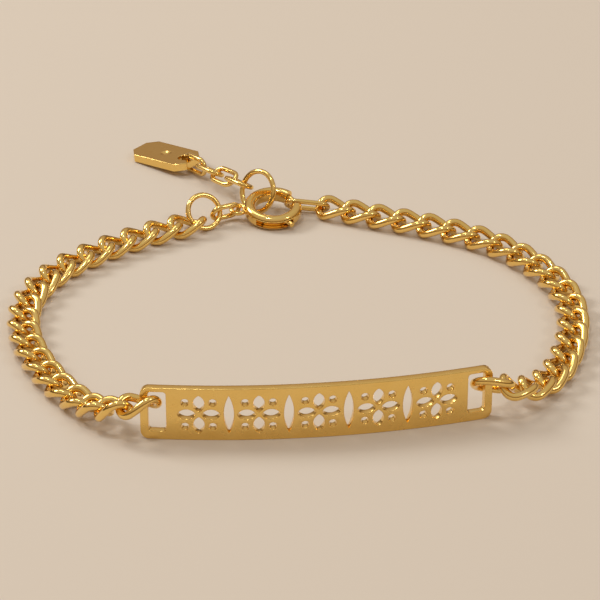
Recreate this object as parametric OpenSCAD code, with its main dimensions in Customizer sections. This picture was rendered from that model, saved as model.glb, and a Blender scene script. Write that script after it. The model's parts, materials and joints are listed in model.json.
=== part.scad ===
/* [Plate] */
// Length of the plate along its curve
plate_len = 35.6; // [32:0.2:42]
// Height of the plate, standing on its long edge
plate_h = 5.9; // [5.5:0.1:7]
// Thickness of the plate's metal
plate_t = 0.8; // [0.6:0.05:1]
// Radius that the plate's front face is bent to
plate_bend = 90; // [70:5:200]
// Radius of the plate's four corners
corner_r = 0.9; // [0.4:0.1:1.4]
// Width of the bar that each end link hooks round
end_bar = 0.8; // [0.7:0.05:1]
// Width of the slot at each end
slot_w = 1.8; // [1.7:0.05:2.4]
// Metal left above each slot
slot_top = 0.45; // [0.35:0.05:0.7]
// Metal left below each slot
slot_foot = 0.95; // [0.6:0.05:1.2]
// Radius of the slots' corners
slot_r = 0.35; // [0.2:0.05:0.6]

/* [Pierced ornament] */
// Height of the row of pierced flowers
flower_h = 4.3; // [3.8:0.1:4.4]
// Width of one petal
petal_w = 1.15; // [0.9:0.05:1.2]
// Metal left between two petals' tips, at the middle of a flower
petal_gap = 0.6; // [0.55:0.05:0.8]
// Width of the upright leaf between two flowers
leaf_w = 1; // [0.7:0.05:1.1]
// Diameter of the round holes between the petals
dot_d = 0.8; // [0.5:0.05:0.85]
// Least metal left between a flower and the leaf beside it, which sets how many flowers there are
flower_web = 0.3; // [0.25:0.05:0.5]
// Metal left between the slots and the row
row_margin = 1.1; // [0.8:0.1:1.6]

/* [Chain] */
// Diameter of the links' wire
wire_d = 0.9; // [0.8:0.05:0.95]
// Width of the chain over its links
chain_w = 3.7; // [3.6:0.1:3.9]
// Distance from one link to the next, before the links share out the route
link_pitch = 2.96; // [2.93:0.01:3.07]
// Twist of each half of a link, which makes the chain lie flat
link_twist = 45; // [42:1:48]
// Gap between two links where they hook into each other
link_gap = 0.18; // [0.16:0.01:0.2]
// Gap between an end link and the bar that it hooks round
bar_gap = 0.56; // [0.54:0.01:0.6]
// Height at which the end links hang in the plate's slots
hang_h = 4.05; // [3.9:0.05:4.2]
// Roll of the plain oval link at the plate's right end
oval_roll = 43; // [40:1:46]
// Extra roll of the first link at the plate's left end, which the chain then loses
side_roll = 10; // [5:1:12]
// Links in which the left chain loses that roll
side_links = 3; // [3:1:5]

/* [Clasp] */
// Outer diameter of the spring ring
ring_d = 6.55; // [6.3:0.05:7]
// Width of the spring ring's tube, seen from above
tube_w = 1.25; // [1.2:0.05:1.4]
// Height of the tube, which is taller than wide
tube_h = 1.7; // [1.5:0.05:1.9]
// Wall of the tube at its sides
tube_wall = 0.2; // [0.15:0.01:0.22]
// Play between the bolt and the tube round it
bolt_play = 0.08; // [0.06:0.01:0.1]
// Opening of the ring that the bolt closes, in degrees
mouth = 50; // [48:1:54]
// How far the bolt's tip enters the tube across the mouth, in degrees
bolt_tip = 8; // [6:1:10]
// Diameter of the bolt's thumb knob
knob_d = 0.6; // [0.5:0.05:0.7]
// How far the knob stands out of the tube
knob_out = 0.45; // [0.3:0.05:0.6]
// Diameter of the wire of the ring's eye
eye_wire = 0.5; // [0.45:0.05:0.55]
// Outer diameter of the ring's eye
eye_d = 2.05; // [2:0.05:2.2]

/* [Jump rings and extender] */
// Outer diameter of the jump ring on the left chain
jump_d = 4.4; // [4.2:0.1:4.8]
// Outer diameter of the jump ring that holds the extender
hook_d = 5.2; // [5.1:0.1:5.6]
// Wire of both jump rings
jump_wire = 0.6; // [0.5:0.05:0.65]
// Wire of the small oval links
oval_wire = 0.6; // [0.55:0.05:0.65]
// Width of the small oval links
oval_w = 2.5; // [2.4:0.05:2.7]
// Gap between the tag's rim and the wire of the link under it
rim_gap = 0.15; // [0.14:0.01:0.2]
// Gap where a small link or a jump ring hangs in another piece
loose_gap = 0.32; // [0.3:0.02:0.36]
// Links between the jump ring and the tag
extender_links = 4; // [4:1:5]
// Length of the tag
tag_len = 8.3; // [7.5:0.1:9]
// Width of the tag
tag_w = 4.5; // [4:0.1:5]
// Thickness of the tag
tag_t = 0.9; // [0.7:0.05:0.95]
// Size of the tag's clipped corners
tag_clip = 1.1; // [0.8:0.1:1.3]
// Diameter of the tag's hole
tag_hole = 1.5; // [1.4:0.05:1.7]
// Metal left between the hole and the tag's end
tag_rim = 0.6; // [0.5:0.05:0.8]
// Diameter of the plain dimple in the middle of the tag
dimple_d = 1.2; // [0.6:0.1:1.4]
// Depth of the dimple
dimple_depth = 0.2; // [0.1:0.05:0.3]

/* [Hidden] */
// Smoothness of round shapes
smooth = 64;
// Spare length of a cutting shape past the metal that it cuts
spare = 1;
// Sides round a link, and sides of its wire
link_sides = 16;
wire_sides = 6;
// Steps that the route takes from one of its points to the next
route_steps = 12;

// Where the middle of the plate's front face stands, seen from above
plate_at = [-0.45, -32.87];
// Middle of the spring ring, seen from above
ring_at = [-0.18, 13.88];
// Middle of the tag, seen from above, and its turn
tag_at = [-11.1, 29.06];
tag_turn = -45;
// Routes of the two chains after the plate: x, y and the share left of the climb to the slots
left_route = [[-20.25, -30.27, 0.72], [-22.25, -28.17, 0.32], [-24.05, -25.17, 0.05], [-26.15, -21.27, 0],
    [-28.15, -15.57, 0], [-29.05, -9.67, 0], [-28.25, -3.37, 0], [-25.05, 2.23, 0], [-19.85, 6.63, 0],
    [-14.45, 9.73, 0], [-8.75, 12.03, 0]];
right_route = [[19.55, -30.37, 0.62], [21.8, -28.67, 0.24], [24.55, -25.57, 0.03], [27.15, -20.17, 0],
    [28.75, -14.37, 0], [28.95, -8.67, 0], [27.35, -2.97, 0], [23.55, 2.93, 0], [18.15, 7.33, 0],
    [11.55, 10.93, 0], [5.55, 14.03, 0]];

// How far a wire lies past the joint that it shares with another wire
function over(wire, other, gap = loose_gap) = ((wire + other) / 2 + gap) / 2;
link_over = over(wire_d, wire_d, link_gap);

// Half a chain link's middle line, lengthwise and across, and the height that it rises to
link_half_l = link_pitch / 2 + link_over;
link_half_w = (chain_w - wire_d) / 2;
link_rise = max([for (turn = [0:90]) link_half_w * sin(turn)
    * sin(link_twist * (1 - (1 - cos(turn)) * link_half_w / link_half_l))]);
lying_h = link_rise + wire_d / 2;
// Plate
slot_h = plate_h - slot_top - slot_foot;
plate_half = plate_len / 2;
bend_y = plate_at.y + plate_bend;
// Turn about the bend's centre that lies a distance s along the plate's curve
function along(s) = s / plate_bend * 180 / PI;
// Point of the plate's middle layer at a distance s along its curve
function on_plate(s, z) = [plate_at.x + (plate_bend - plate_t / 2) * sin(along(s)),
    bend_y - (plate_bend - plate_t / 2) * cos(along(s)), z];
// Joint of an end link, whose wire lies the bar's gap past its bar
bar_joint = plate_half - end_bar - bar_gap + link_gap / 2;

// A point on the smooth curve between points b and c, at a share t of the way
function blend(a, b, c, d, t) = 0.5 * (2 * b + (c - a) * t + (2 * a - 5 * b + 4 * c - d) * t * t
    + (3 * b - a - 3 * c + d) * t * t * t);
function climb(p) = [p.x, p.y, lying_h + (hang_h - lying_h) * p.z];
function stations(start, route) = concat([start], [for (p = route) climb(p)]);
function smoothed(p) = let (n = len(p) - 1, q = concat([2 * p[0] - p[1]], p, [2 * p[n] - p[n - 1]]))
    concat([for (i = [1:n], k = [0:route_steps - 1])
        blend(q[i - 1], q[i], q[i + 1], q[i + 2], k / route_steps)], [p[n]]);
// Length of a line of points up to each of them
function lengths(p, i = 0, sum = 0) = i == len(p) ? [] :
    let (here = sum + (i == 0 ? 0 : norm(p[i] - p[i - 1]))) concat([here], lengths(p, i + 1, here));
// Joints between the links, at equal steps along a line of points
function joints(p) = let (s = lengths(p), total = s[len(s) - 1], n = round(total / link_pitch),
    table = [for (k = [0:2]) [for (i = [0:len(p) - 1]) [s[i], p[i][k]]]])
    [for (j = [0:n]) [for (k = [0:2]) lookup(total * j / n, table[k])]];
left_joints = joints(smoothed(stations(on_plate(-bar_joint, hang_h), left_route)));
right_joints = joints(smoothed(stations(on_plate(bar_joint, hang_h), right_route)));
left_count = len(left_joints) - 1;
right_count = len(right_joints) - 1;
left_end = left_joints[left_count];
right_end = right_joints[right_count];

// Spring ring, in its own plane and as it leans
ring_r = (ring_d - tube_w) / 2;
bore_r = tube_w / 2 - tube_wall;
bolt_r = bore_r - bolt_play;
// The ring leans on the wire of the extender's jump ring, which passes under it at this turn
hook_turn = 132;
ring_slope = asin((jump_wire + link_gap) / (ring_r * (1 + sin(hook_turn))));
ring_mid = [ring_at.x, ring_at.y, tube_h / 2 + ring_r * sin(ring_slope)];
function leaned(p, slope) = [p.x, p.y * cos(slope) - p.z * sin(slope), p.y * sin(slope) + p.z * cos(slope)];
function on_ring(r, turn) = ring_mid + leaned([r * cos(turn), r * sin(turn), 0], ring_slope);
// The mouth begins here, as seen from above and counted from the right
mouth_from = -6;
mouth_to = mouth_from + mouth;
bolt_end = mouth_to + bolt_tip;
held_turn = mouth_from + mouth / 2;
knob_turn = -61;
knob_half = asin(knob_d / 2 / ring_r);
// Spare turn of the bore past the bolt's ends, and of the bolt past the knob and the mouth
spare_turn = 3;
bolt_travel = mouth + bolt_tip + spare_turn;
bolt_tail = knob_turn - knob_half - spare_turn;
eye_turn = 178;
eye_r = (eye_d - eye_wire) / 2;
// The middle of the eye's wire lies this deep in the tube, to which it is soldered
eye_sink = 0.1;
eye_mid = ring_r + tube_w / 2 + eye_r - eye_sink;

// Point on a ring of wire that is leaned by a slope and then turned to a heading
function turned(p, heading) = [p.x * cos(heading) - p.y * sin(heading),
    p.x * sin(heading) + p.y * cos(heading), p.z];
function on_wire(r, heading, slope, turn) =
    turned(leaned([r * cos(turn), r * sin(turn), 0], slope), heading);
// Jump ring that the left chain ends in: it stands on its wire where the last link meets it
jump_r = (jump_d - jump_wire) / 2;
jump_heading = 22;
jump_slope = 54;
jump_joint_r = jump_r - over(jump_wire, wire_d);
jump_mid_z = jump_r * sin(jump_slope) + jump_wire / 2;
jump_turn = 180 + asin((jump_mid_z - left_end.z) / (jump_joint_r * sin(jump_slope)));
jump_mid = left_end - on_wire(jump_joint_r, jump_heading, jump_slope, jump_turn);
// Jump ring that holds the extender: it stands on its wire, with the spring ring's tube above that
hook_r = (hook_d - jump_wire) / 2;
hook_heading = -50;
hook_slope = 66;
hook_hold = on_ring(ring_r, hook_turn);
hook_rise = (hook_r * sin(hook_slope) + jump_wire / 2 - hook_hold.z) / sin(hook_slope);
hook_mid = hook_hold + on_wire(hook_rise, hook_heading, hook_slope, 90);
// Joints of the small oval links with what they hold, and the links' rolls
bridge_turn = -22;
bridge_roll = 113;
held_roll = -50;
extender_turn = 178;
extender_roll = 30;
tag_link_roll = 90;
bridge_from = jump_mid + on_wire(jump_r - over(jump_wire, oval_wire), jump_heading, jump_slope, bridge_turn);
bridge_to = on_ring(eye_mid + eye_r - over(eye_wire, oval_wire), eye_turn);
held_from = on_ring(ring_r - over(2 * bolt_r, oval_wire), held_turn);
extender_from = hook_mid
    + on_wire(hook_r - over(jump_wire, oval_wire), hook_heading, hook_slope, extender_turn);
// The tag lies on its far end, and its rim rests on the last link of the extender
tag_low = oval_wire + rim_gap;
tag_slope = asin(tag_low / (tag_len - tag_rim));
tag_joint_x = tag_len / 2 - tag_rim / 2 - over(tag_rim, oval_wire);
function on_tag(x, z) = [tag_at.x, tag_at.y, 0]
    + turned([x * cos(tag_slope) - z * sin(tag_slope), 0,
        (x + tag_len / 2) * sin(tag_slope) + z * cos(tag_slope)], tag_turn);
tag_joint = on_tag(tag_joint_x, oval_w / 2 - oval_wire - rim_gap);
function extender_joint(i) = extender_from + (tag_joint - extender_from) * i / extender_links;

gold = [0.83, 0.62, 0.25];

// Turns a flat drawing into a cutter through the plate, a distance s along its curve
module through_plate(s) {
    translate([plate_at.x, bend_y, 0])
        rotate([0, 0, along(s)])
            translate([0, -plate_bend + plate_t + spare, 0])
                rotate([90, 0, 0])
                    linear_extrude(plate_t + 2 * spare) children();
}

module rounded_box(w, h, r) {
    square([w - 2 * r, h], center = true);
    square([w, h - 2 * r], center = true);
    for (x = [-1, 1], y = [-1, 1])
        translate([x * (w / 2 - r), y * (h / 2 - r)]) circle(r, $fn = smooth);
}

// Pointed leaf between two arcs
module leaf(l, w) {
    r = (l * l + w * w) / (4 * w);
    intersection() {
        translate([r - w / 2, 0]) circle(r, $fn = 2 * smooth);
        translate([w / 2 - r, 0]) circle(r, $fn = 2 * smooth);
    }
}

module flower() {
    petal_l = (flower_h - petal_gap) / 2;
    dot_r = (flower_h - dot_d / 2) / 2;
    for (a = [0, 90, 180, 270])
        rotate(a) {
            translate([0, (petal_l + petal_gap) / 2]) leaf(petal_l, petal_w);
            rotate(45) translate([0, dot_r]) circle(d = dot_d, $fn = smooth);
        }
}

module plate() {
    row_half = plate_half - end_bar - slot_w - row_margin;
    row = 2 * row_half - flower_h;
    flowers = 1 + floor(row / (flower_h + leaf_w + 2 * flower_web));
    step = row / (flowers - 1);
    slot_mid = plate_half - end_bar - slot_w / 2;
    half_turn = along(plate_half);
    color(gold) difference() {
        translate([plate_at.x, bend_y, 0])
            rotate([0, 0, -90 - half_turn])
                rotate_extrude(angle = 2 * half_turn, $fn = 360)
                    translate([plate_bend - plate_t, 0]) square([plate_t, plate_h]);
        for (side = [-1, 1], low = [0, 1])
            through_plate(side * plate_half)
                translate([0, low * plate_h])
                    mirror([side > 0 ? 1 : 0, 0]) mirror([0, low])
                        difference() {
                            translate([-spare, -spare]) square(corner_r + spare);
                            translate([corner_r, corner_r]) circle(corner_r, $fn = smooth);
                        }
        for (side = [-1, 1])
            through_plate(side * slot_mid)
                translate([0, slot_foot + slot_h / 2]) rounded_box(slot_w, slot_h, slot_r);
        for (i = [0:flowers - 1])
            through_plate(flower_h / 2 - row_half + i * step)
                translate([0, plate_h / 2]) flower();
        for (i = [0:flowers - 2])
            through_plate(flower_h / 2 - row_half + (i + 0.5) * step)
                translate([0, plate_h / 2]) leaf(flower_h, leaf_w);
    }
}

// Middle line of a link round its loop: half length a, half width b, twisted by twist at each end
function loop_point(a, b, twist, u) =
    let (side = link_sides / 2, bends = side - 3, k = floor(u) % link_sides, h = k % side,
        turn = h <= bends ? -90 + 180 * h / bends : 0,
        x = h <= bends ? a - b + b * cos(turn) : (a - b) * (1 - 2 * (h - bends) / 3),
        r = h <= bends ? b * sin(turn) : b,
        flip = k < side ? 1 : -1, roll = -twist * x * flip / a)
    [x * flip, r * flip * cos(roll), r * flip * sin(roll)];
function unit(v) = v / norm(v);
function loop_ring(a, b, wire, twist, k) =
    let (p = loop_point(a, b, twist, k),
        t = unit(loop_point(a, b, twist, k + 1) - loop_point(a, b, twist, k + link_sides - 1)),
        roll = -twist * p.x / a, up = [0, -sin(roll), cos(roll)],
        n = unit(up - (up * t) * t), m = cross(n, t))
    [for (j = [0:wire_sides - 1]) let (w = 360 * j / wire_sides)
        p + wire / 2 * (cos(w) * n + sin(w) * m)];

module loop(a, b, wire, twist) {
    points = [for (k = [0:link_sides - 1]) each loop_ring(a, b, wire, twist, k)];
    faces = [for (k = [0:link_sides - 1], j = [0:wire_sides - 1])
        let (k2 = (k + 1) % link_sides, j2 = (j + 1) % wire_sides)
        each [[k * wire_sides + j, k * wire_sides + j2, k2 * wire_sides + j2],
            [k * wire_sides + j, k2 * wire_sides + j2, k2 * wire_sides + j]]];
    color(gold) polyhedron(points, faces, convexity = 4);
}

// A link between two joints, whose wire lies past each of them by its own distance
module link_between(from, to, w, wire, from_over, to_over, twist, roll) {
    way = to - from;
    a = (norm(way) + from_over + to_over) / 2;
    translate((from + to) / 2 + unit(way) * (to_over - from_over) / 2)
        rotate([roll, -atan2(way.z, norm([way.x, way.y])), atan2(way.y, way.x)])
            loop(a, (w - wire) / 2, wire, twist);
}

module chain_link(ends, i, twist, roll) {
    link_between(ends[i - 1], ends[i], chain_w, wire_d, link_over, link_over, twist, roll);
}

module left_link(i) {
    chain_link(left_joints, i, link_twist, side_roll * max(0, 1 - (i - 1) / side_links));
}

module right_link(i) {
    chain_link(right_joints, i, i == 1 ? 0 : link_twist, i == 1 ? -oval_roll : 0);
}

module wire_ring(r, wire) {
    color(gold) rotate_extrude($fn = 2 * smooth) translate([r, 0]) circle(d = wire, $fn = smooth);
}

module left_jump_ring() {
    translate(jump_mid) rotate([jump_slope, 0, jump_heading]) wire_ring(jump_r, jump_wire);
}

module clasp_jump_ring() {
    translate(hook_mid) rotate([hook_slope, 0, hook_heading]) wire_ring(hook_r, jump_wire);
}

module oval_link(from, to, from_wire, to_wire, roll) {
    link_between(from, to, oval_w, oval_wire, over(oval_wire, from_wire), over(oval_wire, to_wire), 0, roll);
}

module bridge_link() {
    oval_link(bridge_from, bridge_to, jump_wire, eye_wire, bridge_roll);
}

module clasp_link() {
    oval_link(held_from, right_end, 2 * bolt_r, wire_d, held_roll);
}

module extender_link(i) {
    last = i == extender_links;
    oval_link(extender_joint(i - 1), extender_joint(i), i == 1 ? jump_wire : oval_wire,
        last ? tag_rim : oval_wire, last ? tag_link_roll : i % 2 == 1 ? extender_roll : -extender_roll);
}

module tag() {
    dimple_r = (dimple_d * dimple_d / 4 + dimple_depth * dimple_depth) / (2 * dimple_depth);
    half = [tag_len / 2, tag_w / 2];
    outline = [for (s = [[1, 1], [-1, 1], [-1, -1], [1, -1]])
        each s.x * s.y > 0
            ? [[s.x * half.x, s.y * (half.y - tag_clip)], [s.x * (half.x - tag_clip), s.y * half.y]]
            : [[s.x * (half.x - tag_clip), s.y * half.y], [s.x * half.x, s.y * (half.y - tag_clip)]]];
    color(gold) translate([tag_at.x, tag_at.y, 0]) rotate([0, 0, tag_turn])
        translate([0, 0, tag_len / 2 * sin(tag_slope)]) rotate([0, -tag_slope, 0]) difference() {
            linear_extrude(tag_t) polygon(outline);
            translate([half.x - tag_rim - tag_hole / 2, 0, -spare])
                cylinder(d = tag_hole, h = tag_t + 2 * spare, $fn = smooth);
            translate([0, 0, tag_t - dimple_depth + dimple_r]) sphere(r = dimple_r, $fn = smooth);
        }
}

module on_ring_plane() {
    translate(ring_mid) rotate([ring_slope, 0, 0]) children();
}

// Sweep of a flat drawing round the ring, between two turns
module round_ring(from, to) {
    rotate([0, 0, from]) rotate_extrude(angle = to - from, $fn = 2 * smooth)
        translate([ring_r, 0]) children();
}

module tube_section() {
    rise = (tube_h - tube_w) / 2;
    for (z = [-rise, rise]) translate([0, z]) circle(d = tube_w, $fn = smooth);
    square([tube_w, 2 * rise], center = true);
}

module spring_ring() {
    color(gold) on_ring_plane() difference() {
        union() {
            round_ring(mouth_to, mouth_from + 360) tube_section();
            rotate([0, 0, eye_turn]) translate([eye_mid, 0, 0]) wire_ring(eye_r, eye_wire);
        }
        round_ring(bolt_tail - bolt_travel - spare_turn, mouth_from + spare_turn)
            circle(bore_r, $fn = smooth);
        round_ring(mouth_to - spare_turn, bolt_end + spare_turn) circle(bore_r, $fn = smooth);
        round_ring(knob_turn - bolt_travel - knob_half - spare_turn, knob_turn + knob_half + spare_turn)
            translate([0, -knob_d / 2 - bolt_play]) square([tube_w, knob_d + 2 * bolt_play]);
    }
}

module bolt() {
    color(gold) on_ring_plane() {
        round_ring(bolt_tail, bolt_end) circle(bolt_r, $fn = smooth);
        rotate([0, 0, knob_turn]) translate([ring_r, 0, 0]) rotate([0, 90, 0])
            cylinder(d = knob_d, h = tube_w / 2 + knob_out, $fn = smooth);
    }
}

plate();
for (i = [1:left_count])
    left_link(i);
for (i = [1:right_count])
    right_link(i);
left_jump_ring();
bridge_link();
clasp_jump_ring();
for (i = [1:extender_links])
    extender_link(i);
tag();
spring_ring();
bolt();
clasp_link();
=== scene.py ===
"""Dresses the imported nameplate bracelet: round links, bevelled plate, gold plating, floor, light and camera."""

import json
import math

import bmesh
import bpy
import numpy as np
from bpy.props import FloatProperty, FloatVectorProperty, IntProperty, PointerProperty
from mathutils import Matrix, Vector

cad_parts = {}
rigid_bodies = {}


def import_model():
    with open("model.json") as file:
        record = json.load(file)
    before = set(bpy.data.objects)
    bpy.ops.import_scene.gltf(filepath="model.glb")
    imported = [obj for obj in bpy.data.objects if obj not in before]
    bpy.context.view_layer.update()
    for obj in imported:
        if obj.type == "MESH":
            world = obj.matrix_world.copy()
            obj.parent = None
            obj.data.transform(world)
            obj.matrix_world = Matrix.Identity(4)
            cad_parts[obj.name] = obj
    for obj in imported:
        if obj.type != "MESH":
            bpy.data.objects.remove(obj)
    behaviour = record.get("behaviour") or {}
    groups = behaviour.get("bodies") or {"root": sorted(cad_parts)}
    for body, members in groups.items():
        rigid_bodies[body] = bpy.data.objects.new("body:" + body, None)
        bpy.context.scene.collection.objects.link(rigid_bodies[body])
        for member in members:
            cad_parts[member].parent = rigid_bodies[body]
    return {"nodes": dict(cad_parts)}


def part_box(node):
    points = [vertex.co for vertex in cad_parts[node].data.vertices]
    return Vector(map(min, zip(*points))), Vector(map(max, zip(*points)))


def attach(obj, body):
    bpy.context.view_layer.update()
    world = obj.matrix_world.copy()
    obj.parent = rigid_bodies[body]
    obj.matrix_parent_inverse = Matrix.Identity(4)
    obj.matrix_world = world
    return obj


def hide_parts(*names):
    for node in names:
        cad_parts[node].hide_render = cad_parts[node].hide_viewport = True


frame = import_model()

bl_info = {
    "name": "Nameplate bracelet",
    "version": (1, 0, 0),
    "blender": (4, 5, 0),
    "location": "View3D > Sidebar > Bracelet",
    "description": "Builds the looks of a nameplate bracelet around its solids",
    "category": "Object",
}

MM = 0.001
# A solid link's round end has five steps, so its outermost corners lie this far off its middle
CORNER_OFF = math.radians(18)
# How steeply the two halves of a link part at its middle
PARTING = 6.0
# Corners that are closer than this become one, on a copied solid and on the plate's bevelled outline
SOLID_MERGE, PLATE_MERGE = 0.001 * MM, 0.002 * MM
# Steps round a jump ring, and sides of its wire
RING_STEPS, RING_SIDES = 96, 20
# Corners of the plate's round holes
DOT_CORNERS = 24
# Spacing of the cuts that let the plate's flat faces follow its bend
BEND_STEP = 0.6 * MM
# Where the camera stands and what it looks at, fitted to the plate's corners in the photograph
EYE = Vector((-30.58, -284.36, 159.0)) * MM
AIM = Vector((0.75, -5.07, 0)) * MM
# Name, place and diameter in metres, power in watts, colour
LIGHTS = (
    ("key", (-0.18, 0.3, 0.72), 0.28, 0.65, "#FFF8EE"),
    ("window", (-0.5, 0.3, 0.45), 0.26, 1.9, "#FFFFFF"),
    ("sparkle", (-0.1, -0.1, 0.6), 0.05, 0.35, "#FFFFFF"),
    ("fill", (0.45, -0.3, 0.5), 0.1, 0.3, "#FFFFFF"),
)
# Heights above the floor between which the room grows bright, in degrees
DARK_BELOW, BRIGHT_ABOVE = 3, 27
LEFT_LINKS = sorted((n for n in frame["nodes"] if n.startswith("left_link_")), key=lambda n: int(n[10:]))
RIGHT_LINKS = sorted((n for n in frame["nodes"] if n.startswith("right_link_")), key=lambda n: int(n[11:]))
EXTENDER_LINKS = sorted(n for n in frame["nodes"] if n.startswith("extender_link_"))
PLATE_LOW, PLATE_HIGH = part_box("plate")


# ---- sizes and colours that a user may change


class ChainSizes(bpy.types.PropertyGroup):
    """Sizes of the curb chain and of the small oval links"""

    wire: FloatProperty(name="Wire", description="Diameter of the chain links' wire",
                        default=0.87 * MM, min=0.3 * MM, unit="LENGTH")
    twist: FloatProperty(name="Twist", description="Turn of a link's end against its middle",
                         default=math.radians(45), subtype="ANGLE")
    small_wire: FloatProperty(name="Small wire", description="Diameter of the small oval links' wire",
                              default=0.58 * MM, min=0.2 * MM, unit="LENGTH")
    steps: IntProperty(name="Steps", description="Steps round a link", default=56, min=16, max=120)
    sides: IntProperty(name="Sides", description="Sides of a link's wire", default=16, min=6, max=32)


class PlateSizes(bpy.types.PropertyGroup):
    """Sizes of the pierced plate"""

    length: FloatProperty(name="Length", description="Length along the curve", default=35.6 * MM, unit="LENGTH")
    height: FloatProperty(name="Height", description="Height of the standing plate",
                          default=PLATE_HIGH.z - PLATE_LOW.z, unit="LENGTH")
    thickness: FloatProperty(name="Thickness", description="Thickness of the metal", default=0.8 * MM, unit="LENGTH")
    bend: FloatProperty(name="Bend", description="Radius of the front face", default=90 * MM, unit="LENGTH")
    corner: FloatProperty(name="Corner", description="Radius of the corners", default=0.9 * MM, unit="LENGTH")
    bevel: FloatProperty(name="Edge", description="Width of the polished edge", default=0.07 * MM, unit="LENGTH")
    end_bar: FloatProperty(name="End bar", description="Width of the bar at each end",
                           default=0.8 * MM, unit="LENGTH")
    slot_w: FloatProperty(name="Slot width", description="Width of the end slots", default=1.8 * MM, unit="LENGTH")
    slot_top: FloatProperty(name="Slot top", description="Metal above the slots", default=0.45 * MM, unit="LENGTH")
    slot_foot: FloatProperty(name="Slot foot", description="Metal below the slots", default=0.95 * MM, unit="LENGTH")
    slot_r: FloatProperty(name="Slot corner", description="Radius of the slots' corners",
                          default=0.35 * MM, unit="LENGTH")
    flower: FloatProperty(name="Flower", description="Height of a pierced flower", default=4.3 * MM, unit="LENGTH")
    petal: FloatProperty(name="Petal", description="Width of a petal", default=1.15 * MM, unit="LENGTH")
    petal_gap: FloatProperty(name="Petal gap", description="Metal at the middle of a flower",
                             default=0.6 * MM, unit="LENGTH")
    leaf: FloatProperty(name="Leaf", description="Width of the upright leaf", default=1.0 * MM, unit="LENGTH")
    dot: FloatProperty(name="Dot", description="Diameter of the round holes", default=0.8 * MM, unit="LENGTH")
    web: FloatProperty(name="Web", description="Least metal between a flower and a leaf",
                       default=0.3 * MM, unit="LENGTH")
    margin: FloatProperty(name="Margin", description="Metal between the slots and the row",
                          default=1.1 * MM, unit="LENGTH")


class Finishes(bpy.types.PropertyGroup):
    """Colours and polish of the metal"""

    gold: FloatVectorProperty(name="Gold", description="Colour of the plating where light falls square on it",
                              subtype="COLOR_GAMMA", default=(0.976, 0.835, 0.502))
    deep: FloatVectorProperty(name="Deep gold", description="Colour of the plating where it is a little thicker",
                              subtype="COLOR_GAMMA", default=(0.949, 0.788, 0.42))
    satin: FloatProperty(name="Satin", description="Roughness of the plate's face", default=0.24, subtype="FACTOR")
    polish: FloatProperty(name="Polish", description="Roughness of the polished pieces",
                          default=0.13, subtype="FACTOR")
    lacquer: FloatProperty(name="Lacquer", description="Clear lacquer over the plating, which whitens the highlights",
                           default=0.5, subtype="FACTOR")


class StageSettings(bpy.types.PropertyGroup):
    """Floor, light and camera"""

    floor: FloatVectorProperty(name="Floor", description="Colour of the floor", subtype="COLOR_GAMMA",
                               default=(0.868, 0.825, 0.766))
    lights: FloatProperty(name="Lights", description="Share of the four lights' power", default=1.0, min=0)
    zenith: FloatProperty(name="Zenith", description="Strength of the soft light from above",
                          default=0.58, min=0)
    horizon: FloatProperty(name="Horizon", description="Strength of the soft light from the sides",
                           default=0.12, min=0)


# ---- small tools


def linear(colour):
    """An sRGB colour, as hex text or three shares, in the linear values that shaders take"""
    if isinstance(colour, str):
        colour = [int(colour[i:i + 2], 16) / 255 for i in (1, 3, 5)]
    return [c / 12.92 if c <= 0.04045 else ((c + 0.055) / 1.055) ** 2.4 for c in colour] + [1.0]


def add_node(tree, kind, inputs=None, **settings):
    """Adds a node with its settings, and links or sets its inputs"""
    node = tree.nodes.new(kind)
    for name, value in settings.items():
        setattr(node, name, value)
    for key, value in (inputs or {}).items():
        if isinstance(value, bpy.types.NodeSocket):
            tree.links.new(value, node.inputs[key])
        else:
            node.inputs[key].default_value = value
    return node


def seat_of(name):
    """Middle, turn and half sizes of a ring or link, read from the corners of its solid.

    The corners are placed evenly on both sides of each middle plane, so their spread gives the axes.
    The longest side comes first and the thinnest last.
    """
    corners = np.array([v.co for v in frame["nodes"][name].data.vertices], float)
    corners = np.unique(np.round(corners, 8), axis=0)
    middle = corners.mean(0)
    _, axes = np.linalg.eigh(np.cov((corners - middle).T))
    axes = axes.T[::-1]
    half = np.abs((corners - middle) @ axes.T).max(0)
    if half[1] > half[0]:
        axes[[0, 1]] = axes[[1, 0]]
        half[[0, 1]] = half[[1, 0]]
    axes[2] = np.cross(axes[0], axes[1])
    turn = Matrix([list(a) for a in axes]).transposed()
    return Vector(middle), turn, half


def plain_mesh(made, name):
    """Turns an object and its modifiers into a mesh of its own, and deletes the object"""
    depsgraph = bpy.context.evaluated_depsgraph_get()
    mesh = bpy.data.meshes.new_from_object(made.evaluated_get(depsgraph))
    mesh.name = name
    data = made.data
    made.modifiers.clear()
    bpy.data.objects.remove(made)
    bpy.data.batch_remove([data])
    piece = bpy.data.objects.new(name, mesh)
    bpy.context.scene.collection.objects.link(piece)
    return piece


def dress(piece, nodes, body="bracelet"):
    """Lets a finished piece stand for its CAD nodes and move with their body"""
    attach(piece, body)
    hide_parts(*nodes)


def shade_by_angle(mesh, degrees):
    """Smooth shading, apart from edges that are sharper than the angle"""
    mesh.shade_smooth()
    mesh.set_sharp_from_angle(angle=math.radians(degrees))


def weigh_normals(made):
    """Large faces set the shading, so that flat metal stays flat beside a small rounding"""
    weighted = made.modifiers.new("Weighted", "WEIGHTED_NORMAL")
    weighted.weight = 100
    weighted.keep_sharp = True


# ---- metals


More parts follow.
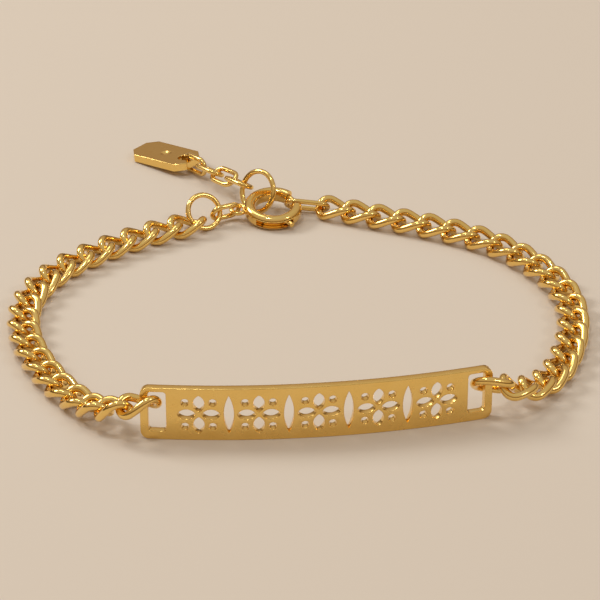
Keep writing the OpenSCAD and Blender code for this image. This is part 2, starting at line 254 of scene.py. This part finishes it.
def plated_metal(name, roughness, wear):
    """Gold plating on brass under a thin clear lacquer: coloured reflections, and a finish that is never quite even.

    wear is the depth of the fine unevenness in metres.
    """
    kept = bpy.data.materials.get(name)
    if kept:
        return kept
    finishes = bpy.context.scene.bracelet_finishes
    material = bpy.data.materials.new(name)
    material.use_nodes = True
    tree = material.node_tree
    tree.nodes.clear()
    place = add_node(tree, "ShaderNodeTexCoord").outputs["Object"]
    # Patches of about 2 mm where the plating is a little deeper in colour
    patches = add_node(tree, "ShaderNodeTexNoise", {"Vector": place, "Scale": 500.0, "Detail": 2.0})
    tint = add_node(tree, "ShaderNodeMix", {0: patches.outputs["Fac"], "A": linear(finishes.gold),
                                            "B": linear(finishes.deep)}, data_type="RGBA")
    # Smudges of about 1 mm make the polish uneven
    smudges = add_node(tree, "ShaderNodeTexNoise", {"Vector": place, "Scale": 1100.0, "Detail": 3.0})
    polish = add_node(tree, "ShaderNodeMapRange", {"Value": smudges.outputs["Fac"], "From Min": 0.3, "From Max": 0.7,
                                                   "To Min": roughness * 0.85, "To Max": roughness * 1.2})
    # Real polishing marks are finer than 0.05 mm, so they are drawn at 0.25 mm to show
    marks = add_node(tree, "ShaderNodeTexNoise", {"Vector": place, "Scale": 4000.0, "Detail": 1.0})
    bump = add_node(tree, "ShaderNodeBump", {"Height": marks.outputs["Fac"], "Strength": 1.0, "Distance": wear})
    metal = add_node(tree, "ShaderNodeBsdfPrincipled", {
        "Base Color": tint.outputs["Result"], "Metallic": 1.0, "Roughness": polish.outputs["Result"],
        "Normal": bump.outputs["Normal"], "Coat Weight": finishes.lacquer, "Coat Roughness": 0.2})
    add_node(tree, "ShaderNodeOutputMaterial", {"Surface": metal.outputs["BSDF"]})
    return material


def polished_gold():
    # Gold plating on brass, polished: mirror-like, with bright small highlights and brown depths
    return plated_metal("gold_plating_polished", bpy.context.scene.bracelet_finishes.polish, 0.0002 * MM)


def satin_gold():
    # Gold plating on brass, finely brushed: soft reflections that blur into an even sheen
    return plated_metal("gold_plating_satin", bpy.context.scene.bracelet_finishes.satin, 0.0005 * MM)


# ---- links, as a Geometry Nodes tree


def link_tree():
    """Tree that puts a link on each point: a wire bent to a long loop, twisted along its length"""
    kept = bpy.data.node_groups.get("Links on points")
    if kept:
        return kept
    tree = bpy.data.node_groups.new("Links on points", "GeometryNodeTree")
    face = tree.interface
    face.new_socket(name="Points", in_out="INPUT", socket_type="NodeSocketGeometry")
    for name in ("Wire", "Half length", "Half width", "Twist"):
        face.new_socket(name=name, in_out="INPUT", socket_type="NodeSocketFloat")
    for name in ("Steps", "Sides"):
        face.new_socket(name=name, in_out="INPUT", socket_type="NodeSocketInt")
    face.new_socket(name="Metal", in_out="INPUT", socket_type="NodeSocketMaterial")
    face.new_socket(name="Links", in_out="OUTPUT", socket_type="NodeSocketGeometry")
    given = add_node(tree, "NodeGroupInput").outputs

    ring = add_node(tree, "GeometryNodeCurvePrimitiveCircle", {"Resolution": given["Steps"], "Radius": 1.0})
    on_ring = add_node(tree, "ShaderNodeSeparateXYZ",
                       {0: add_node(tree, "GeometryNodeInputPosition").outputs[0]}).outputs
    # The circle's two halves move apart, and straight sides join them
    spread = add_node(tree, "ShaderNodeMath", {0: on_ring["X"], 1: PARTING}, operation="MULTIPLY")
    low = add_node(tree, "ShaderNodeMath", {0: spread.outputs[0], 1: -1.0}, operation="MAXIMUM")
    side = add_node(tree, "ShaderNodeMath", {0: low.outputs[0], 1: 1.0}, operation="MINIMUM")
    straight = add_node(tree, "ShaderNodeMath", {0: given["Half length"], 1: given["Half width"]},
                        operation="SUBTRACT")
    round_x = add_node(tree, "ShaderNodeMath", {0: on_ring["X"], 1: given["Half width"]}, operation="MULTIPLY")
    x = add_node(tree, "ShaderNodeMath", {0: side.outputs[0], 1: straight.outputs[0], 2: round_x.outputs[0]},
                 operation="MULTIPLY_ADD")
    y = add_node(tree, "ShaderNodeMath", {0: on_ring["Y"], 1: given["Half width"]}, operation="MULTIPLY")
    share = add_node(tree, "ShaderNodeMath", {0: x.outputs[0], 1: given["Half length"]}, operation="DIVIDE")
    back = add_node(tree, "ShaderNodeMath", {0: share.outputs[0], 1: -1.0}, operation="MULTIPLY")
    roll = add_node(tree, "ShaderNodeMath", {0: back.outputs[0], 1: given["Twist"]}, operation="MULTIPLY")
    flat = add_node(tree, "ShaderNodeCombineXYZ", {"X": x.outputs[0], "Y": y.outputs[0]})
    twisted = add_node(tree, "ShaderNodeVectorRotate", {"Vector": flat.outputs[0], "Angle": roll.outputs[0]},
                       rotation_type="X_AXIS")
    loop = add_node(tree, "GeometryNodeSetPosition",
                    {"Geometry": ring.outputs["Curve"], "Position": twisted.outputs[0]})
    half_wire = add_node(tree, "ShaderNodeMath", {0: given["Wire"], 1: 0.5}, operation="MULTIPLY")
    section = add_node(tree, "GeometryNodeCurvePrimitiveCircle",
                       {"Resolution": given["Sides"], "Radius": half_wire.outputs[0]})
    link = add_node(tree, "GeometryNodeCurveToMesh",
                    {"Curve": loop.outputs[0], "Profile Curve": section.outputs["Curve"]})
    turn = add_node(tree, "GeometryNodeInputNamedAttribute", {"Name": "turn"}, data_type="FLOAT_VECTOR")
    rotation = add_node(tree, "FunctionNodeEulerToRotation", {0: turn.outputs["Attribute"]})
    stretch = add_node(tree, "GeometryNodeInputNamedAttribute", {"Name": "stretch"}, data_type="FLOAT_VECTOR")
    placed = add_node(tree, "GeometryNodeInstanceOnPoints", {
        "Points": given["Points"], "Instance": link.outputs[0], "Rotation": rotation.outputs[0],
        "Scale": stretch.outputs["Attribute"]})
    real = add_node(tree, "GeometryNodeRealizeInstances", {0: placed.outputs[0]})
    smooth = add_node(tree, "GeometryNodeSetShadeSmooth", {"Geometry": real.outputs[0]})
    plated = add_node(tree, "GeometryNodeSetMaterial",
                      {"Geometry": smooth.outputs[0], "Material": given["Metal"]})
    add_node(tree, "NodeGroupOutput", {"Links": plated.outputs[0]})
    return tree


def make_links(name, nodes, wire, twist):
    """One mesh of smooth links, each where its CAD node lies"""
    sizes = bpy.context.scene.bracelet_chain
    seats = [seat_of(n) for n in nodes]
    # The solid's last corners lie a little inside the round end of a link
    corner_lost = 1 - math.cos(CORNER_OFF)
    half_width = sum(s[2][1] for s in seats) / len(seats) - wire / 2
    half_lengths = [s[2][0] - wire / 2 + corner_lost * half_width for s in seats]
    half_length = sum(half_lengths) / len(seats)
    points = bpy.data.meshes.new(name)
    points.from_pydata([s[0] for s in seats], [], [])
    turn = points.attributes.new("turn", "FLOAT_VECTOR", "POINT")
    stretch = points.attributes.new("stretch", "FLOAT_VECTOR", "POINT")
    for i, (_, axes, _) in enumerate(seats):
        turn.data[i].vector = axes.to_euler()
        stretch.data[i].vector = (half_lengths[i] / half_length, 1, 1)
    made = bpy.data.objects.new(name, points)
    bpy.context.scene.collection.objects.link(made)
    tree = link_tree()
    modifier = made.modifiers.new("Links", "NODES")
    modifier.node_group = tree
    values = {"Wire": wire, "Half length": half_length, "Half width": half_width, "Twist": twist,
              "Steps": sizes.steps, "Sides": sizes.sides, "Metal": polished_gold()}
    for socket in tree.interface.items_tree:
        if socket.name in values:
            modifier[socket.identifier] = values[socket.name]
    piece = plain_mesh(made, name)
    dress(piece, nodes)


# ---- plate


def arc(x, y, r, start, end, steps):
    """Points on an arc, in metres and degrees"""
    turns = [math.radians(start + (end - start) * i / steps) for i in range(steps + 1)]
    return [(x + r * math.cos(t), y + r * math.sin(t)) for t in turns]


def rounded_box(x, y, w, h, r):
    """Outline of a box with rounded corners round the point x, y"""
    points = []
    for sx, sy, start in ((1, -1, -90), (1, 1, 0), (-1, 1, 90), (-1, -1, 180)):
        points += arc(x + sx * (w / 2 - r), y + sy * (h / 2 - r), r, start, start + 90, 8)
    return points


def leaf(x, y, length, width, turn, steps=14):
    """Outline of a pointed leaf between two arcs"""
    r = (length ** 2 + width ** 2) / (4 * width)
    half = math.degrees(math.asin(length / 2 / r))
    shape = arc(width / 2 - r, 0, r, -half, half, steps)[:-1]
    shape += arc(r - width / 2, 0, r, 180 - half, 180 + half, steps)[:-1]
    c, s = math.cos(math.radians(turn)), math.sin(math.radians(turn))
    return [(x + px * c - py * s, y + px * s + py * c) for px, py in shape]


def plate_outlines(p):
    """Outline of the flat plate and of each hole in it, with the plate's middle at the origin"""
    slot_h = p.height - p.slot_top - p.slot_foot
    slot_x = p.length / 2 - p.end_bar - p.slot_w / 2
    slot_y = p.slot_foot + slot_h / 2 - p.height / 2
    lines = [rounded_box(0, 0, p.length, p.height, p.corner)]
    lines += [rounded_box(side * slot_x, slot_y, p.slot_w, slot_h, p.slot_r) for side in (-1, 1)]
    row = 2 * (p.length / 2 - p.end_bar - p.slot_w - p.margin) - p.flower
    flowers = 1 + math.floor(row / (p.flower + p.leaf + 2 * p.web))
    step = row / (flowers - 1)
    petal_l = (p.flower - p.petal_gap) / 2
    reach = (petal_l + p.petal_gap) / 2
    dot_r = (p.flower - p.dot / 2) / 2
    for i in range(flowers):
        x = -row / 2 + i * step
        for turn in (0, 90, 180, 270):
            t = math.radians(turn)
            lines.append(leaf(x - reach * math.sin(t), reach * math.cos(t), petal_l, p.petal, turn))
            d = t + math.pi / 4
            lines.append(arc(x - dot_r * math.sin(d), dot_r * math.cos(d), p.dot / 2,
                             0, 360 - 360 / DOT_CORNERS, DOT_CORNERS - 1))
        if i:
            lines.append(leaf(x - step / 2, 0, p.flower, p.leaf, 0, 24))
    return lines


def bend_plate(mesh, p):
    """Bends the flat plate round an upright axis behind it and stands it in its place"""
    middle_x = (PLATE_LOW.x + PLATE_HIGH.x) / 2
    centre_y = PLATE_LOW.y + p.bend
    for v in mesh.verts:
        turn = v.co.x / p.bend
        r = p.bend - (p.thickness / 2 - v.co.z)
        v.co = Vector((middle_x + r * math.sin(turn), centre_y - r * math.cos(turn),
                       PLATE_LOW.z + p.height / 2 + v.co.y))


def make_plate():
    """The pierced plate with polished edges"""
    p = bpy.context.scene.bracelet_plate
    drawing = bpy.data.curves.new("plate_drawing", "CURVE")
    drawing.dimensions = "2D"
    drawing.fill_mode = "BOTH"
    drawing.extrude = p.thickness / 2 - p.bevel
    drawing.bevel_depth = p.bevel
    drawing.bevel_resolution = 2
    drawing.offset = -p.bevel
    for line in plate_outlines(p):
        spline = drawing.splines.new("POLY")
        spline.points.add(len(line) - 1)
        spline.use_cyclic_u = True
        for point, (x, y) in zip(spline.points, line):
            point.co = (x, y, 0, 1)
    made = bpy.data.objects.new("plate_drawing", drawing)
    bpy.context.scene.collection.objects.link(made)
    piece = plain_mesh(made, "plate_metal")
    shape = bmesh.new()
    shape.from_mesh(piece.data)
    bmesh.ops.remove_doubles(shape, verts=shape.verts, dist=PLATE_MERGE)
    cuts = round(p.length / BEND_STEP)
    for i in range(1, cuts):
        x = p.length * (i / cuts - 0.5)
        bmesh.ops.bisect_plane(shape, geom=shape.verts[:] + shape.edges[:] + shape.faces[:], dist=1e-7,
                               plane_co=(x, 0, 0), plane_no=(1, 0, 0))
    bend_plate(shape, p)
    bmesh.ops.recalc_face_normals(shape, faces=shape.faces)
    shape.to_mesh(piece.data)
    shape.free()
    piece.data.materials.append(satin_gold())
    shade_by_angle(piece.data, 35)
    weigh_normals(piece)
    piece = plain_mesh(piece, "plate_metal")
    dress(piece, ["plate"])


# ---- rings, clasp and tag


def make_jump_ring(node):
    """A smooth ring of round wire"""
    middle, axes, half = seat_of(node)
    wire = half[2]
    bpy.ops.mesh.primitive_torus_add(major_segments=RING_STEPS, minor_segments=RING_SIDES,
                                     major_radius=half[0] - wire, minor_radius=wire)
    piece = bpy.context.object
    piece.data.transform(Matrix.Translation(middle) @ axes.to_4x4())
    piece.name = piece.data.name = node + "_wire"
    piece.data.shade_smooth()
    piece.data.materials.append(polished_gold())
    dress(piece, [node])


def make_from_solid(node, edge, angle, body="bracelet"):
    """A copy of a solid with merged corners, and edges softened where a width is given"""
    source = frame["nodes"][node]
    made = bpy.data.objects.new(node + "_metal", source.data.copy())
    bpy.context.scene.collection.objects.link(made)
    made.data.materials.clear()
    shape = bmesh.new()
    shape.from_mesh(made.data)
    bmesh.ops.remove_doubles(shape, verts=shape.verts, dist=SOLID_MERGE)
    bmesh.ops.dissolve_limit(shape, verts=shape.verts, edges=shape.edges, angle_limit=math.radians(0.5))
    shape.to_mesh(made.data)
    shape.free()
    made.data.materials.append(polished_gold())
    shade_by_angle(made.data, angle)
    if edge:
        bevel = made.modifiers.new("Edge", "BEVEL")
        bevel.width = edge
        bevel.segments = 3
        bevel.limit_method = "ANGLE"
        bevel.angle_limit = math.radians(angle)
    weigh_normals(made)
    piece = plain_mesh(made, node + "_metal")
    dress(piece, [node], body)


# ---- operators


class BRACELET_OT_chains(bpy.types.Operator):
    """Builds both chains"""

    bl_idname = "bracelet.chains"
    bl_label = "Chains"

    def execute(self, context):
        sizes = context.scene.bracelet_chain
        make_links("left_chain", LEFT_LINKS, sizes.wire, sizes.twist)
        make_links("right_chain", RIGHT_LINKS[1:], sizes.wire, sizes.twist)
        make_links("right_end_link", RIGHT_LINKS[:1], sizes.wire, 0)
        return {"FINISHED"}


class BRACELET_OT_small_links(bpy.types.Operator):
    """Builds the small oval links of the clasp and the extender"""

    bl_idname = "bracelet.small_links"
    bl_label = "Small links"

    def execute(self, context):
        wire = context.scene.bracelet_chain.small_wire
        make_links("extender", EXTENDER_LINKS, wire, 0)
        make_links("bridge_oval", ["bridge_link"], wire, 0)
        make_links("clasp_oval", ["clasp_link"], wire, 0)
        return {"FINISHED"}


class BRACELET_OT_plate(bpy.types.Operator):
    """Builds the pierced plate"""

    bl_idname = "bracelet.plate"
    bl_label = "Plate"

    def execute(self, context):
        make_plate()
        return {"FINISHED"}


class BRACELET_OT_jump_rings(bpy.types.Operator):
    """Builds both jump rings"""

    bl_idname = "bracelet.jump_rings"
    bl_label = "Jump rings"

    def execute(self, context):
        for node in ("left_jump_ring", "clasp_jump_ring"):
            make_jump_ring(node)
        return {"FINISHED"}


class BRACELET_OT_clasp(bpy.types.Operator):
    """Builds the spring ring and its bolt"""

    bl_idname = "bracelet.clasp"
    bl_label = "Clasp"

    def execute(self, context):
        make_from_solid("spring_ring", 0, 35)
        make_from_solid("bolt", 0, 35, "bolt")
        return {"FINISHED"}


class BRACELET_OT_tag(bpy.types.Operator):
    """Builds the tag at the end of the extender"""

    bl_idname = "bracelet.tag"
    bl_label = "Tag"

    def execute(self, context):
        make_from_solid("tag", 0.08 * MM, 30)
        return {"FINISHED"}


class BRACELET_OT_stage(bpy.types.Operator):
    """Sets the floor, the lights and the camera"""

    bl_idname = "bracelet.stage"
    bl_label = "Stage"

    def execute(self, context):
        settings = context.scene.bracelet_stage
        bpy.ops.mesh.primitive_plane_add(size=3)
        floor = context.object
        floor.name = "floor"
        paper = bpy.data.materials.new("floor_matt_paper")
        paper.use_nodes = True
        shader = paper.node_tree.nodes["Principled BSDF"]
        shader.inputs["Base Color"].default_value = linear(settings.floor)
        shader.inputs["Roughness"].default_value = 0.9
        floor.data.materials.append(paper)

        world = bpy.data.worlds.new("studio")
        context.scene.world = world
        world.use_nodes = True
        sky = world.node_tree
        height = add_node(sky, "ShaderNodeSeparateXYZ",
                          {0: add_node(sky, "ShaderNodeTexCoord").outputs["Generated"]}).outputs["Z"]
        # The room is dark low down, which draws a brown line along each polished wire
        level = add_node(sky, "ShaderNodeMapRange",
                         {"Value": height, "From Min": math.sin(math.radians(DARK_BELOW)),
                          "From Max": math.sin(math.radians(BRIGHT_ABOVE)), "To Min": settings.horizon,
                          "To Max": settings.zenith}, interpolation_type="SMOOTHSTEP")
        # Beige walls low down warm what a level face mirrors
        tone = add_node(sky, "ShaderNodeMix", {0: height, "A": linear("#E3B67C"), "B": linear("#FCF8F4")},
                        data_type="RGBA")
        dome = sky.nodes["Background"]
        sky.links.new(tone.outputs["Result"], dome.inputs["Color"])
        sky.links.new(level.outputs["Result"], dome.inputs["Strength"])

        for name, place, size, power, colour in LIGHTS:
            light = bpy.data.lights.new(name, "AREA")
            light.shape = "DISK"
            light.size = size
            light.energy = power * settings.lights
            light.color = linear(colour)[:3]
            lamp = bpy.data.objects.new(name, light)
            lamp.location = place
            lamp.rotation_euler = (-Vector(place)).to_track_quat("-Z", "Y").to_euler()
            context.scene.collection.objects.link(lamp)

        # The plain transform keeps the gold as rich as its own colour
        context.scene.view_settings.view_transform = "Standard"

        camera = bpy.data.cameras.new("camera")
        camera.sensor_width = 36
        camera.lens = 180
        eye = bpy.data.objects.new("camera", camera)
        eye.location = EYE
        eye.rotation_euler = (AIM - EYE).to_track_quat("-Z", "Y").to_euler()
        camera.clip_start, camera.clip_end = 0.01, 10
        context.scene.collection.objects.link(eye)
        context.scene.camera = eye
        return {"FINISHED"}


class BRACELET_PT_panel(bpy.types.Panel):
    """Sizes, colours and build steps of the bracelet"""

    bl_idname = "BRACELET_PT_panel"
    bl_label = "Nameplate bracelet"
    bl_space_type = "VIEW_3D"
    bl_region_type = "UI"
    bl_category = "Bracelet"

    def draw(self, context):
        for group in GROUPS:
            values = getattr(context.scene, group)
            box = self.layout.box()
            for name in values.bl_rna.properties.keys():
                if name not in ("rna_type", "name"):
                    box.prop(values, name)
        for step in STEPS:
            self.layout.operator(step.bl_idname)


GROUPS = {"bracelet_chain": ChainSizes, "bracelet_plate": PlateSizes, "bracelet_finishes": Finishes,
          "bracelet_stage": StageSettings}
STEPS = (BRACELET_OT_chains, BRACELET_OT_small_links, BRACELET_OT_plate, BRACELET_OT_jump_rings,
         BRACELET_OT_clasp, BRACELET_OT_tag, BRACELET_OT_stage)


def register():
    for group in GROUPS.values():
        bpy.utils.register_class(group)
    for name, group in GROUPS.items():
        setattr(bpy.types.Scene, name, PointerProperty(type=group))
    for step in (*STEPS, BRACELET_PT_panel):
        bpy.utils.register_class(step)


def unregister():
    for step in (*STEPS, BRACELET_PT_panel):
        bpy.utils.unregister_class(step)
    for name in GROUPS:
        delattr(bpy.types.Scene, name)
    for group in GROUPS.values():
        bpy.utils.unregister_class(group)


def main():
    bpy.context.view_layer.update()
    register()
    for step in STEPS:
        area, name = step.bl_idname.split(".")
        getattr(getattr(bpy.ops, area), name)()


if __name__ == "__main__":
    main()
